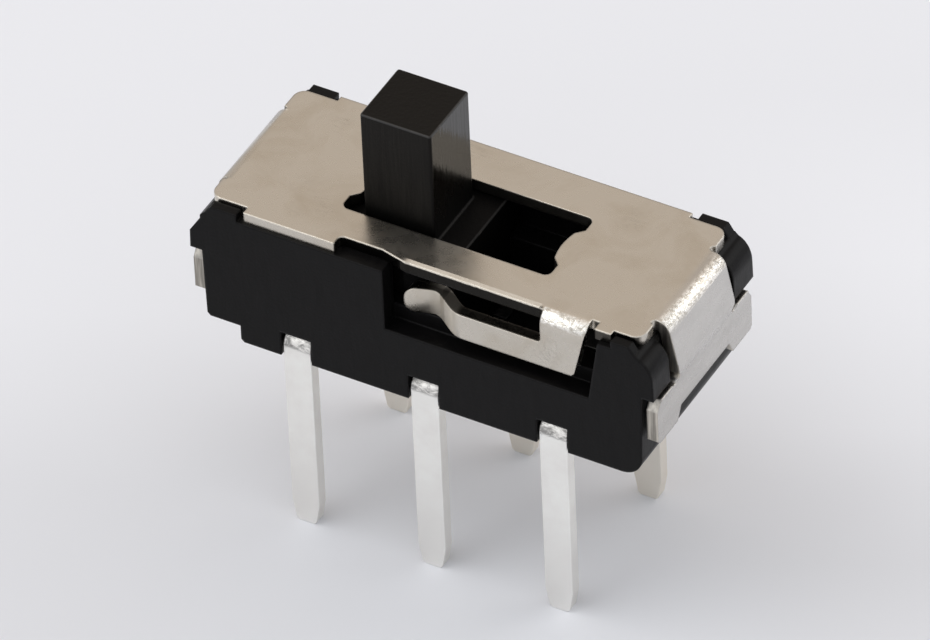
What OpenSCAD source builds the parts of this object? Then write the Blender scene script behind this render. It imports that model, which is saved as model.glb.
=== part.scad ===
// Miniature double-pole slide switch for through-hole boards: a moulded housing, a folded sheet
// cover with a spring arm, a slider with its knob, two sliding contacts and six terminals.
// Origin: middle of the housing's underside, which seats on the board. +X along the slide,
// +Y to the rear, +Z up through the knob. Millimetres.

/* [Housing] */
// Length of the housing over its end walls, at the top
body_len = 8.54; // [8.2:0.02:11]
// Width of the housing, front to rear, without the rear wall's extra
body_wid = 3.53; // [3.36:0.01:4.4]
// Height of the rim above the board
body_h = 2.72; // [2.62:0.02:3.6]
// Thickness of the front and rear walls
wall_t = 0.37; // [0.3:0.01:0.42]
// Extra thickness of the rear wall
back_extra = 0.08; // [0:0.01:0.12]
// Thickness of the end walls
end_wall_t = 0.72; // [0.5:0.02:0.86]
// Thickness of the floor that carries the terminals
floor_t = 0.5; // [0.46:0.01:0.6]
// How far each end wall leans in, for each millimetre of height
end_draft = 0.022; // [0:0.001:0.04]
// Height of the tops of the two rails that carry the slider
rail_h = 1.74; // [1.56:0.02:1.8]
// Width of each rail, in from its wall
rail_w = 0.4; // [0.38:0.005:0.44]
// Height of the step under the left end
step_h = 0.36; // [0.2:0.01:0.5]
// Length of the step under the left end
step_len = 0.68; // [0.3:0.02:0.9]
// Radius under the right end
foot_r = 0.41; // [0.1:0.01:0.6]
// Radius in the corner of the step and on its edges
edge_r = 0.06; // [0.02:0.01:0.09]

/* [Window for the spring arm] */
// Left edge of the window, left of the middle
window_left = 0.705; // [0.6:0.01:1.2]
// How far the window's right end at the sill stands in from the end wall's face
window_end = 1.025; // [1:0.005:1.04]
// Height of the sill
sill_z = 1.42; // [1.3:0.01:1.54]
// How far the window's right edge leans out over its height
window_lean = 0.2; // [0.16:0.01:0.24]

/* [Corner lugs] */
// How far the nose of each lug stands out of the end wall
lug_out = 0.23; // [0.15:0.01:0.3]
// Height of the underside of the noses
lug_z = 1.82; // [1.76:0.01:1.9]
// Height of the upright front of the noses
lug_face = 0.38; // [0.2:0.01:0.5]
// Width of each lug, in from the long side
lug_wid = 0.61; // [0.4:0.01:0.66]
// Width of the post that rises beside the cover
post_wid = 0.18; // [0.14:0.01:0.2]
// Height of the posts above the rim
post_rise = 0.16; // [0.08:0.01:0.2]
// How far the post's top stands back from the end wall
post_back = 0.22; // [0.16:0.01:0.3]

/* [Cover] */
// Thickness of the sheet
sheet_t = 0.22; // [0.18:0.01:0.24]
// Inner radius of the folds
fold_r = 0.06; // [0.03:0.01:0.08]
// How far the sheet's long edges stand back from the housing
cover_inset = 0.055; // [0.02:0.005:0.08]
// Depth of the corner notches that the posts pass
notch_deep = 0.145; // [0.14:0.005:0.16]
// Depth of the two corner notches at the rear
rear_notch_deep = 0.1; // [0.08:0.005:0.145]
// Length of the corner notches at the left and rear
notch_len = 0.84; // [0.7:0.01:0.9]
// Length of the corner notch at the front right
notch_len_fr = 0.61; // [0.56:0.01:0.66]
// How far the cover's corners stand back from the end walls
lobe_back = 0.085; // [0.06:0.005:0.12]
// Half width of each end strap between the lugs
strap_half = 1.0; // [0.8:0.01:1.02]
// Angle by which the end straps lean out below their folds
strap_lean = 11.5; // [8:0.5:13]
// How far the left strap's fold stands in from the end wall
strap_in_left = 0.22; // [0.18:0.01:0.28]
// How far the right strap's fold stands in from the end wall
strap_in_right = 0.095; // [0.08:0.005:0.2]
// How far the left ears' faces stand out of the end wall
ear_out_left = 0.225; // [0.2:0.005:0.28]
// How far the right ears' faces stand out of the end wall
ear_out_right = 0.265; // [0.2:0.005:0.28]
// Height below which the straps curve back to the ears
strap_knee_z = 2.06; // [1.95:0.01:2.2]
// Half width of the sheet over its ears
ear_half = 1.69; // [1.5:0.01:1.7]
// Height of the lower edge of the ears above the board
ear_z = 0.81; // [0.6:0.01:0.9]
// Height of the middle of each strap's lower edge
strap_z = 1.08; // [1.0:0.01:1.2]
// Height of the upper edge of the ears
ear_top_z = 1.74; // [1.6:0.01:1.76]
// Height of the chamfer on the ears' outer upper corners
ear_chamfer = 0.22; // [0.05:0.01:0.26]
// Size of the chamfer on the ears' outer lower corners
ear_foot = 0.06; // [0.02:0.01:0.1]

/* [Knob slot] */
// Width of the slot, front to rear
slot_wid = 1.64; // [1.58:0.01:1.8]
// Gap between the knob and the slot's end at each detent
stop_gap = 0.185; // [0.05:0.005:0.22]
// How far the slot's corners reach past its stops
slot_corner = 0.19; // [0.14:0.005:0.22]
// Radius of the bulged face of each stop
stop_r = 1.25; // [0.8:0.05:2]
// Half width of the bulged face of each stop
stop_half = 0.36; // [0.2:0.01:0.4]
// Radius of the slot's corners
slot_r = 0.13; // [0.05:0.01:0.18]

/* [Spring arm] */
// Left end of the set-back in the cover's front edge
setback_left = 1.66; // [1.4:0.01:1.9]
// Depth of the set-back below the cover's front edge
setback_deep = 0.11; // [0.06:0.005:0.13]
// How much deeper the set-back is cut over the arm's tip
pocket_deep = 0.125; // [0.08:0.005:0.15]
// Distance from the middle at which the deeper part starts to taper out
pocket_full = 0.85; // [0.7:0.01:1]
// Distance from the middle at which the deeper part ends
pocket_end = 0.33; // [0.2:0.01:0.5]
// Corner radius at the set-back's left end
pocket_r = 0.09; // [0.05:0.01:0.1]
// How far the front flange's right edge stands in from the end wall's face
flange_end = 1.07; // [1.05:0.01:1.2]
// Length of the front flange along the fold
flange_len = 0.87; // [0.7:0.01:1]
// How far the flange's right edge leans in over its height
flange_lean = 0.24; // [0.1:0.01:0.3]
// Width of the relief slot at the flange's right
relief_wid = 0.15; // [0.08:0.01:0.17]
// How far the flange's face stands back from the housing's front
flange_inset = 0.026; // [0.01:0.002:0.06]
// Height of the arm's lower edge
arm_z = 1.77; // [1.6:0.01:1.84]
// Height of the arm's leaf, and of its tip
arm_h = 0.53; // [0.49:0.01:0.6]
// Left end of the arm's tip, left of the middle
tip_left = 0.43; // [0.3:0.01:0.5]
// Radius of the tip's corners
tip_r = 0.22; // [0.1:0.01:0.24]
// Where the arm stands furthest in, right of the middle
crank_end = 0.09; // [0.05:0.01:0.2]
// Length over which the arm curves in
crank_len = 0.72; // [0.6:0.01:0.8]
// How far the arm's detent point stands in from its leaf
crank_in = 0.355; // [0.3:0.005:0.38]
// Slope at which the tip flares out again
tip_flare = 0.35; // [0.2:0.01:0.45]

/* [Slider] */
// Travel of the slider between its two detents
travel = 1.906; // [1.5:0.002:2]
// Length of the knob along the slide
knob_len = 1.376; // [1:0.002:1.5]
// Width of the knob, front to rear
knob_wid = 1.354; // [1:0.002:1.44]
// Height of the knob's top above the cover
knob_rise = 2.104; // [1:0.002:4]
// Radius of the knob's upright edges
knob_r = 0.05; // [0.02:0.01:0.12]
// How far the slider reaches past each sliding contact's point
slider_end = 0.28; // [0.22:0.01:0.34]
// Gap between the slider's deck and the cover
deck_clear = 0.04; // [0.02:0.005:0.06]
// Height of the detent hump on the slider's front
hump_h = 0.06; // [0.03:0.005:0.08]
// Length of the top of the detent hump
hump_len = 0.6; // [0.3:0.02:0.7]
// Length of each ramp of the hump
hump_ramp = 0.25; // [0.1:0.01:0.3]

/* [Sliding contacts] */
// Thickness of the contact strip
leaf_t = 0.1; // [0.06:0.005:0.12]
// Width of the contact strip
leaf_wid = 0.44; // [0.3:0.01:0.44]
// Height of the bow in the contact strip
leaf_bow = 0.8; // [0.5:0.01:0.84]
// Half length of the flat at the top of the bow
leaf_flat = 0.3; // [0.1:0.01:0.4]
// Length of the strip's tail past its contact point
leaf_tail = 0.1; // [0.05:0.005:0.12]

/* [Terminals] */
// Distance between neighbouring terminals
pin_pitch = 2.5; // [2.4:0.01:2.54]
// Width of the terminal strip
pin_wid = 0.54; // [0.4:0.01:0.6]
// Thickness of the terminal strip
pin_t = 0.25; // [0.2:0.01:0.3]
// Length of the legs below the board face
pin_len = 3.78; // [2:0.02:5]
// How far the legs' outer faces stand back from the long sides
pin_inset = 0.026; // [0.01:0.002:0.05]
// Outer radius of the terminals' bends
pin_bend = 0.3; // [0.26:0.01:0.34]
// Length of the taper at each leg's tip
tip_len = 0.45; // [0.2:0.01:0.8]
// How much narrower the tip is on each side
tip_in = 0.07; // [0.03:0.005:0.12]
// Inner end of the contact pads, from the middle plane
pad_in = 0.3; // [0.2:0.01:0.4]
// Half length of the middle terminals' pads
pad_half = 0.5; // [0.4:0.01:0.6]
// How far a side terminal's pad reaches past the contact point
pad_lap = 0.35; // [0.25:0.01:0.45]

/* [Clearances] */
// Gap between the cover and what it passes
cover_fit = 0.02; // [0.005:0.005:0.03]
// Running gap around the slider
slide_fit = 0.03; // [0.02:0.005:0.05]
// Gap between the sliding contacts and the pads they run on
contact_fit = 0.01; // [0.01:0.005:0.02]
// Gap around the contacts in the slider's pockets
pocket_fit = 0.05; // [0.02:0.01:0.08]
// Gap around the terminals in the housing
pin_fit = 0.03; // [0.01:0.01:0.05]

/* [Hidden] */
$fn = 48;
cut = 0.2;
far = 1;
lap = 0.01;

BLACK = [0.13, 0.13, 0.13];
KNOB_BLACK = [0.15, 0.145, 0.14];
NICKEL = [0.74, 0.70, 0.63];
TIN = [0.84, 0.83, 0.80];
BRONZE = [0.78, 0.62, 0.38];

body_x = body_len / 2;
body_y = body_wid / 2;
cavity_x = body_x - end_wall_t;
cavity_y = body_y - wall_t;
rail_y = cavity_y - rail_w;
nose_x = body_x + lug_out;
lug_y = body_y - lug_wid;
post_top_x = body_x - post_back;
nose_top_z = lug_z + lug_face;
post_top_z = body_h + post_rise;
nose_draft = 0.01;
end_round = 0.1;
crown_x = body_x - 0.12;
crown_z = body_h - 0.05;
crown_steps = 12;
back_y = body_y + back_extra;

cover_y = body_y - cover_inset;
cover_top = body_h + sheet_t;
notch_y = cover_y - notch_deep;
rear_notch_y = cover_y - rear_notch_deep;
window_right = body_x - window_end;
flange_right = body_x - flange_end;
flange_left = flange_right - flange_len;
bend_z = body_h - fold_r;
fold_out = fold_r + sheet_t;
lobe_x = body_x - lobe_back;
lobe_y = notch_y - cover_fit;
lobe_r = 0.22;
relief_r = 0.06;
strap_notch_r = 0.12;

knob_x = travel / 2;
slider_x = travel / 2 + slider_end;
stop_x = knob_x + knob_len / 2 + stop_gap;
slot_x = stop_x + slot_corner;

flange_y = body_y - flange_inset;
detent_y = flange_y - crank_in;
detent_back_y = detent_y - sheet_t;
leaf_y = sheet_t / 2 - flange_y;
crank_start = crank_end + crank_len;
flare_r = 0.08;
flange_nick = 0.06;
root_r = 0.08;
slider_top = body_h - deck_clear;
deck_z = rail_h + slide_fit;
hump_y = detent_back_y - slide_fit;
deck_front_y = hump_y - hump_h;
deck_rear_y = cavity_y - slide_fit;
keel_y = rail_y - slide_fit;
keel_z = floor_t + 4 * slide_fit;

pad_top = floor_t;
pad_bottom = floor_t - pin_t;
leaf_z = pad_top + contact_fit;
leaf_x = travel / 2;
leaf_end = leaf_x + leaf_tail;
pocket_x = leaf_end + pocket_fit;
pocket_y = (pad_in + keel_y) / 2;
pocket_top = leaf_z + leaf_bow + leaf_t;
pin_y = body_y - pin_inset;
side_pad_in = travel - pad_lap;
pad_out = rail_y - pin_fit;
pad_half_side = (pin_pitch + pin_wid / 2 - side_pad_in) / 2;
pad_mid_side = side_pad_in + pad_half_side - pin_pitch;

// Extrudes an outline drawn in X and Z along Y, from y0 to y1
module along_y(y0, y1) {
    translate([0, y1, 0])
        rotate([90, 0, 0])
            linear_extrude(y1 - y0)
                children();
}

// Extrudes an outline drawn in Y and Z along X, from x0 to x1
module along_x(x0, x1) {
    translate([x0, 0, 0])
        rotate([90, 0, 90])
            linear_extrude(x1 - x0)
                children();
}

// Rectangle about the origin with round corners
module round_rect(half_x, half_y, r) {
    square([2 * (half_x - r), 2 * half_y], center = true);
    square([2 * half_x, 2 * (half_y - r)], center = true);
    for (sx = [-1, 1], sy = [-1, 1])
        translate([sx * (half_x - r), sy * (half_y - r)])
            circle(r);
}

// ---- Housing ----

function end_x(z) = body_x - end_draft * max(0, lug_z - z);

module housing_profile() {
    difference() {
        union() {
            polygon([
                [-body_x + step_len + edge_r, 0],
                [end_x(0) - foot_r, 0],
                [end_x(foot_r) - foot_r, foot_r],
                [end_x(foot_r), foot_r],
                [body_x, lug_z],
                [body_x, body_h - end_round],
                [body_x - end_round, body_h],
                [-body_x + end_round, body_h],
                [-body_x, body_h - end_round],
                [-body_x, lug_z],
                [-end_x(step_h + edge_r), step_h + edge_r],
                [-end_x(step_h) + edge_r, step_h],
                [-body_x + step_len, step_h],
                [-body_x + step_len, edge_r]
            ]);
            translate([end_x(foot_r) - foot_r, foot_r])
                circle(foot_r);
        }
        translate([body_x - foot_r, -far])
            square([foot_r + far, far]);
    }
}

module lug_profile() {
    polygon([
        [cavity_x, lug_z],
        [nose_x, lug_z],
        [nose_x - nose_draft, nose_top_z],
        [post_top_x, post_top_z],
        [cavity_x, post_top_z]
    ]);
}

// The lug's section beside the post; its crown is an arc in so many steps, or a plain slope
module lug_crown(steps) {
    reach_x = nose_x - nose_draft - crown_x;
    reach_z = crown_z - nose_top_z;
    arc = [for (i = [0:steps])
        [crown_x + reach_x * cos(90 * i / steps), nose_top_z + reach_z * sin(90 * i / steps)]];
    polygon(concat([[cavity_x, lug_z], [nose_x, lug_z]], arc, [[cavity_x, crown_z]]));
}

// Lug of one corner, with the post that stands in the cover's notch; face_y is its outer side
module lug(corner_len, face_y, post_y, steps) {
    along_y(lug_y, face_y)
        lug_crown(steps);
    intersection() {
        along_y(post_y, face_y)
            lug_profile();
        translate([body_x - corner_len + cover_fit * 2, 0, 0])
            cube([corner_len + far, face_y, post_top_z]);
    }
}

module window_cut() {
    along_y(-body_y - cut, -cavity_y)
        polygon([
            [-window_left, sill_z],
            [window_right, sill_z],
            [window_right + window_lean, body_h],
            [window_right + window_lean, body_h + cut],
            [-window_left, body_h + cut]
        ]);
}

// Room for one terminal: the bed of its pad, the tunnel under rail and wall, the open notch
module terminal_bed(pad_mid, half) {
    half_wid = pin_wid / 2 + pin_fit;
    translate([-half_wid, pad_in - pin_fit, pad_bottom])
        cube([2 * half_wid, body_y, pin_t + pin_fit]);
    translate([-half_wid, pin_y - pin_bend, -cut])
        cube([2 * half_wid, pin_bend + cut, cut + pad_top + pin_fit]);
    translate([pad_mid - half - pin_fit, pad_in - pin_fit, pad_bottom])
        cube([2 * (half + pin_fit), pad_out - pad_in + 2 * pin_fit, pin_t + pin_fit]);
}

// Recess in an end wall that the cover's strap lies in, with room for the fold at its top
module strap_seat(strap_in) {
    fold_x = body_x - strap_in;
    seat_half = strap_half + 4 * cover_fit;
    translate([0, -seat_half, 0])
        along_y(0, 2 * seat_half)
            polygon([
                [fold_x, bend_z],
                [fold_x + fold_r - cover_fit, bend_z],
                [body_x + cut, knee_inner(fold_x, body_x + cut)],
                [body_x + cut, body_h + cut],
                [fold_x, body_h + cut]
            ]);
}

// Height at which the inner face of a leaning strap reaches x
function knee_inner(fold_x, x) = bend_z - (x - fold_x - fold_r + cover_fit) / tan(strap_lean);

module housing() {
    color(BLACK)
        difference() {
            union() {
                along_y(-body_y, back_y)
                    housing_profile();
                for (sx = [0, 1]) {
                    front_len = sx == 0 ? notch_len_fr : notch_len;
                    steps = sx == 0 ? crown_steps : 1;
                    mirror([sx, 0, 0]) {
                        lug(notch_len, back_y, rear_notch_y + cover_fit, steps);
                        mirror([0, 1, 0])
                            lug(front_len, body_y, body_y - post_wid, steps);
                    }
                }
            }
            translate([-cavity_x, -cavity_y, rail_h])
                cube([2 * cavity_x, 2 * cavity_y, body_h]);
            translate([-cavity_x, -rail_y, floor_t])
                cube([2 * cavity_x, 2 * rail_y, body_h]);
            window_cut();
            strap_seat(strap_in_right);
            mirror([1, 0, 0])
                strap_seat(strap_in_left);
            for (sy = [0, 1])
                mirror([0, sy, 0]) {
                    terminal_bed(0, pad_half);
                    for (sx = [0, 1])
                        mirror([sx, 0, 0])
                            translate([pin_pitch, 0, 0])
                                terminal_bed(pad_mid_side, pad_half_side);
                }
        }
}

// ---- Cover ----

// Where the bulged face of a stop stands at y
function stop_face(y) = stop_x + stop_r - sqrt(stop_r * stop_r - y * y);

module slot_outline() {
    steps = 12;
    face = [for (i = [-steps:steps]) [stop_face(stop_half * i / steps), stop_half * i / steps]];
    root_x = slot_x + lap;
    root_half = stop_half + root_x - stop_face(stop_half);
    difference() {
        round_rect(slot_x, slot_wid / 2, slot_r);
        for (turn = [0, 1])
            mirror([turn, 0])
                polygon(concat([[root_x, -root_half]], face, [[root_x, root_half]]));
    }
}

module plate_outline() {
    difference() {
        union() {
            square([2 * (body_x - notch_len), 2 * cover_y], center = true);
            translate([0, -cover_y + cover_inset])
                square([body_x - notch_len_fr, cover_y]);
            round_rect(lobe_x, lobe_y, lobe_r);
            translate([0, rear_notch_y - notch_y])
                round_rect(lobe_x, lobe_y, lobe_r);
        }
        strap_root(strap_in_right, relief_r);
        mirror([1, 0])
            strap_root(strap_in_left, relief_r / 2);
        setback_outline();
        translate([flange_left, -body_y])
            square([flange_len, flange_inset + fold_out]);
        translate([flange_right, -body_y])
            square([relief_wid, flange_inset + fold_out]);
        translate([flange_right, -cover_y - far])
            square([body_x - flange_right, far + cover_inset]);
        slot_outline();
    }
}

// The set-back in the plate's front edge, deeper over the arm's tip
module setback_outline() {
    edge_y = -cover_y + setback_deep;
    deep_y = edge_y + pocket_deep;
    corner = [-setback_left + pocket_r, deep_y - pocket_r];
    polygon(concat(
        [
            [-setback_left, -cover_y - far],
            [flange_left, -cover_y - far],
            [flange_left, edge_y],
            [-pocket_end, edge_y],
            [-pocket_full, deep_y]
        ],
        [for (a = [90 : 15 : 180]) corner + pocket_r * [cos(a), sin(a)]]
    ));
}

// What is cut from the plate beyond a strap's fold, with a round relief beside the strap
module strap_root(strap_in, r) {
    fold_x = body_x - strap_in;
    translate([fold_x, -strap_half])
        square([strap_in + cut, 2 * strap_half]);
    for (sy = [-1, 1])
        translate([max(fold_x, lobe_x - r), sy * (strap_half + r)]) {
            circle(r);
            translate([0, -r])
                square([strap_in + cut, 2 * r]);
        }
}

// Fold and leaf of a flange in its own plane: bend centre at the origin, plate to the left
module fold_profile(drop, lean) {
    intersection() {
        difference() {
            circle(fold_out);
            circle(fold_r);
        }
        polygon([
            [0, 0],
            2 * fold_out * [cos(lean), sin(lean)],
            2 * fold_out * [1, 1],
            [0, 2 * fold_out]
        ]);
    }
    rotate(lean)
        translate([fold_r, -drop])
            square([sheet_t, drop]);
}

module strap_outline() {
    difference() {
        union() {
            translate([-strap_half, ear_top_z - strap_notch_r])
                square([2 * strap_half, body_h]);
            polygon([
                [-ear_half, ear_z + ear_foot],
                [-ear_half + ear_foot, ear_z],
                [-strap_half, ear_z],
                [-strap_half + (strap_z - ear_z) / 2, strap_z],
                [strap_half - (strap_z - ear_z) / 2, strap_z],
                [strap_half, ear_z],
                [ear_half - ear_foot, ear_z],
                [ear_half, ear_z + ear_foot],
                [ear_half, ear_top_z - ear_chamfer],
                [ear_half - ear_chamfer * 0.6, ear_top_z],
                [-ear_half + ear_chamfer * 0.6, ear_top_z],
                [-ear_half, ear_top_z - ear_chamfer]
            ]);
        }
        for (sy = [-1, 1])
            translate([sy * (strap_half + strap_notch_r / 2), ear_top_z + strap_notch_r / 2])
                circle(strap_notch_r);
    }
}

// Where a strap's outer face stands at z: it leans out from its fold, then eases to the ears
function strap_x(z, fold_x, ear_x) =
    let (
        lean_x = fold_x + fold_out / cos(strap_lean) + (bend_z - z) * tan(strap_lean),
        t = min(1, max(0, (strap_knee_z - z) / (strap_knee_z - ear_top_z + strap_notch_r)))
    )
    lean_x + (ear_x - lean_x) * t * t * (3 - 2 * t);

// A strap's section: its fold, the stretch that leans out, the curve back and the ears
module strap_profile(strap_in, ear_out) {
    fold_x = body_x - strap_in;
    ear_x = body_x + ear_out;
    steps = 12;
    curve_end = ear_top_z - strap_notch_r;
    zs = [for (i = [0:steps]) strap_knee_z + (curve_end - strap_knee_z) * i / steps];
    wide = sheet_t / cos(strap_lean);
    outer = [for (z = zs) [strap_x(z, fold_x, ear_x), z]];
    inner = [for (i = [steps:-1:0])
        [outer[i][0] - wide + (wide - sheet_t) * i / steps, zs[i]]];
    translate([fold_x, bend_z])
        fold_profile((bend_z - strap_knee_z) / cos(strap_lean) - cut, strap_lean);
    polygon(concat(
        [[fold_x + fold_r / cos(strap_lean), bend_z], [fold_x + fold_out / cos(strap_lean), bend_z]],
        outer,
        [[ear_x, 0], [ear_x - sheet_t, 0]],
        inner
    ));
}

module strap(strap_in, ear_out) {
    intersection() {
        along_y(-ear_half, ear_half)
            strap_profile(strap_in, ear_out);
        along_x(body_x - strap_in - lap, body_x + far)
            strap_outline();
    }
}

module flange() {
    mid = [flange_left - root_r, arm_z + arm_h + root_r];
    root = [for (a = [0:15:90]) mid + root_r * [sin(a), -cos(a)]];
    intersection() {
        rotate([0, 0, 180])
            along_x(-body_x, 0)
                translate([flange_y - fold_out, bend_z])
                    fold_profile(bend_z - arm_z, 0);
        along_y(-body_y, 0)
            polygon(concat(
                root,
                [
                    [flange_left, cover_top],
                    [flange_right, cover_top],
                    [flange_right, cover_top - sheet_t / 2],
                    [flange_right - flange_lean, arm_z + flange_nick],
                    [flange_right - flange_lean - flange_nick, arm_z],
                    [flange_left, arm_z]
                ]
            ));
    }
}

// The arm's middle line in plan: straight, curved in to the detent point, then flared out
function arm_y(x) =
    x > crank_start ? leaf_y
    : x > crank_end ? leaf_y + crank_in * (1 + cos(180 * (x - crank_end) / crank_len)) / 2
    : leaf_y + crank_in - tip_flare * (sqrt(pow(crank_end - x, 2) + pow(flare_r, 2)) - flare_r);

// Point beside the middle line at x, to its front for side -1 and to its back for side 1
function arm_side(x, side) =
    let (
        slope = (arm_y(x + lap) - arm_y(x - lap)) / (2 * lap),
        reach = side * sheet_t / 2 / sqrt(1 + slope * slope)
    )
    [x - reach * slope, arm_y(x) + reach];

module arm() {
    steps = 36;
    reach = crank_start + tip_left + cut;
    xs = [for (i = [0:steps]) crank_start - reach * i / steps];
    front = [for (x = xs) arm_side(x, -1)];
    back = [for (i = [steps:-1:0]) arm_side(xs[i], 1)];
    root_x = flange_left + lap;
    intersection() {
        translate([0, 0, arm_z])
            linear_extrude(arm_h)
                polygon(concat(
                    [[root_x, sheet_t - flange_y], [root_x, -flange_y]],
                    front,
                    back
                ));
        along_y(-body_y, 0)
            arm_outline();
    }
}

// The arm's outline from the front: a long leaf with a rounded end
module arm_outline() {
    mid_x = (body_x - tip_left) / 2;
    translate([mid_x, arm_z + arm_h / 2])
        round_rect(body_x - mid_x, arm_h / 2, tip_r);
}

module cover() {
    color(NICKEL)
        union() {
            translate([0, 0, body_h])
                linear_extrude(sheet_t)
                    plate_outline();
            strap(strap_in_right, ear_out_right);
            mirror([1, 0, 0])
                strap(strap_in_left, ear_out_left);
            flange();
            arm();
        }
}

// ---- Slider ----

module deck_outline() {
    hump_half = hump_len / 2;
    foot_half = hump_half + hump_ramp;
    polygon([
        [-slider_x, -deck_front_y],
        [-foot_half, -deck_front_y],
        [-hump_half, -hump_y],
        [hump_half, -hump_y],
        [foot_half, -deck_front_y],
        [slider_x, -deck_front_y],
        [slider_x, deck_rear_y],
        [-slider_x, deck_rear_y]
    ]);
}

module slider() {
    color(KNOB_BLACK)
        translate([-knob_x, 0, 0])
            difference() {
                union() {
                    translate([0, 0, deck_z])
                        linear_extrude(slider_top - deck_z)
                            deck_outline();
                    translate([-slider_x, -keel_y, keel_z])
                        cube([2 * slider_x, 2 * keel_y, deck_z - keel_z + lap]);
                    translate([0, 0, deck_z])
                        linear_extrude(cover_top + knob_rise - deck_z)
                            round_rect(knob_len / 2, knob_wid / 2, knob_r);
                }
                for (sy = [-1, 1])
                    translate([0, sy * pocket_y, 0])
                        pocket();
            }
}

module pocket() {
    half_wid = leaf_wid / 2 + pocket_fit;
    translate([-pocket_x, -half_wid, 0])
        cube([2 * pocket_x, 2 * half_wid, pocket_top]);
}

// ---- Sliding contacts ----

function leaf_height(x) =
    leaf_z + leaf_bow * (1 + cos(180 * max(0, abs(x) - leaf_flat) / (leaf_x - leaf_flat))) / 2;

module sliding_contact(sy) {
    steps = 48;
    xs = [for (i = [0:steps]) -leaf_end + 2 * leaf_end * i / steps];
    lower = [for (x = xs) [x, leaf_height(x)]];
    upper = [for (i = [steps:-1:0]) [xs[i], leaf_height(xs[i]) + leaf_t]];
    color(BRONZE)
        translate([-knob_x, sy * pocket_y, 0])
            along_y(-leaf_wid / 2, leaf_wid / 2)
                polygon(concat(lower, upper));
}

// ---- Terminals ----

module leg_profile() {
    polygon([
        [pad_in, pad_bottom],
        [pin_y - pin_bend, pad_bottom],
        [pin_y - pin_bend, pad_top],
        [pad_in, pad_top]
    ]);
    translate([pin_y - pin_bend, pad_top - pin_bend])
        intersection() {
            difference() {
                circle(pin_bend);
                circle(pin_bend - pin_t);
            }
            square(pin_bend);
        }
    translate([pin_y - pin_t, -pin_len])
        square([pin_t, pin_len + pad_top - pin_bend]);
}

module leg_outline() {
    tip_half = pin_wid / 2 - tip_in;
    tip_edge = 0.05;
    polygon([
        [-tip_half + tip_edge, -pin_len],
        [tip_half - tip_edge, -pin_len],
        [tip_half, -pin_len + tip_edge],
        [pin_wid / 2, -pin_len + tip_len],
        [pin_wid / 2, pad_top],
        [-pin_wid / 2, pad_top],
        [-pin_wid / 2, -pin_len + tip_len],
        [-tip_half, -pin_len + tip_edge]
    ]);
}

module terminal(pad_mid, half) {
    color(TIN)
        union() {
            intersection() {
                along_x(-pin_wid / 2, pin_wid / 2)
                    leg_profile();
                along_y(0, body_y)
                    leg_outline();
            }
            translate([pad_mid - half, pad_in, pad_bottom])
                cube([2 * half, pad_out - pad_in, pin_t]);
        }
}

// Terminal of one row and column: sx and sy are 1 or -1, column 0 is the middle
module terminal_at(column, sy) {
    scale_x = column < 0 ? 1 : 0;
    mirror([0, sy < 0 ? 1 : 0, 0])
        mirror([scale_x, 0, 0])
            translate([abs(column) * pin_pitch, 0, 0])
                if (column == 0)
                    terminal(0, pad_half);
                else
                    terminal(pad_mid_side, pad_half_side);
}

housing();
cover();
slider();
sliding_contact(-1);  // contact_front
sliding_contact(1);  // contact_rear
terminal_at(-1, -1);  // terminal_front_left
terminal_at(0, -1);  // terminal_front_middle
terminal_at(1, -1);  // terminal_front_right
terminal_at(-1, 1);  // terminal_rear_left
terminal_at(0, 1);  // terminal_rear_middle
terminal_at(1, 1);  // terminal_rear_right
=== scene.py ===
"""Slide switch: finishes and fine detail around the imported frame, laid out as a Blender add-on."""

import math

import bpy
from bpy.props import FloatProperty, FloatVectorProperty, PointerProperty
from bpy.types import Operator, Panel, PropertyGroup
from mathutils import Matrix, Vector


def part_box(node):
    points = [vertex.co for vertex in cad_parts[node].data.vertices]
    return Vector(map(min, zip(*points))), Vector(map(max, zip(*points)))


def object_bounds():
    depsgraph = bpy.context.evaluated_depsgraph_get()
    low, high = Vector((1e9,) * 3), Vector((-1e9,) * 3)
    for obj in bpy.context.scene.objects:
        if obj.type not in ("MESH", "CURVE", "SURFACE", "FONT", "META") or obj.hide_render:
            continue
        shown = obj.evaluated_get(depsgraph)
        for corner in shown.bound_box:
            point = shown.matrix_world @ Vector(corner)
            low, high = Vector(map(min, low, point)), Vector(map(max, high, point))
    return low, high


bl_info = {
    "name": "Slide Switch",
    "version": (1, 0, 0),
    "blender": (4, 5, 0),
    "location": "View3D > Sidebar > Slide Switch",
    "description": "Dresses a miniature slide switch with its moulded, plated and folded finishes",
    "category": "Object",
}

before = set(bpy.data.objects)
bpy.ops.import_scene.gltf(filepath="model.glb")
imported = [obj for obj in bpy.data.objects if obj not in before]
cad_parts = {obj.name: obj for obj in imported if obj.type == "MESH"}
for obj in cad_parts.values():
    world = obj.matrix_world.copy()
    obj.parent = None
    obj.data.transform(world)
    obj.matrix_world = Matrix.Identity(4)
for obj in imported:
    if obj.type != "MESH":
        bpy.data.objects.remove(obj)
cad_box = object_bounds()

MM = 0.001
ROWS = ("front", "rear")
COLUMNS = ("left", "middle", "right")

# Height of the cover's top plate above the board, in millimetres
PLATE_TOP = round(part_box("cover")[1].z / MM, 3)

# Tints of the painted highlight on folds and arrises, of nicks in the plastic and of light that
# bronze sends back
PAINTED_HIGHLIGHT_TINT = (0.95, 0.92, 0.86)
# The straps' tint is a painted reflection: a cooler, duller copy of the nickel
STRAP_REFLECTION_TINT = (0.59, 0.575, 0.55)
NICK_TINT = (0.10, 0.09, 0.08)
BRONZE_SHEEN = (1.0, 0.95, 0.85, 1.0)

# A face's normal along one axis, without sign: the value where each finish begins, and is full
TURNED_SIDEWAYS = (0.75, 0.9)
TURNED_UPRIGHT = (0.85, 0.6)
TURNED_IN_SLOT = (0.5, 0.3)
TURNED_UP = (0.6, 0.85)
OFF_LEVEL = (0.985, 0.93)
OFF_UPRIGHT = (0.22, 0.34)
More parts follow.
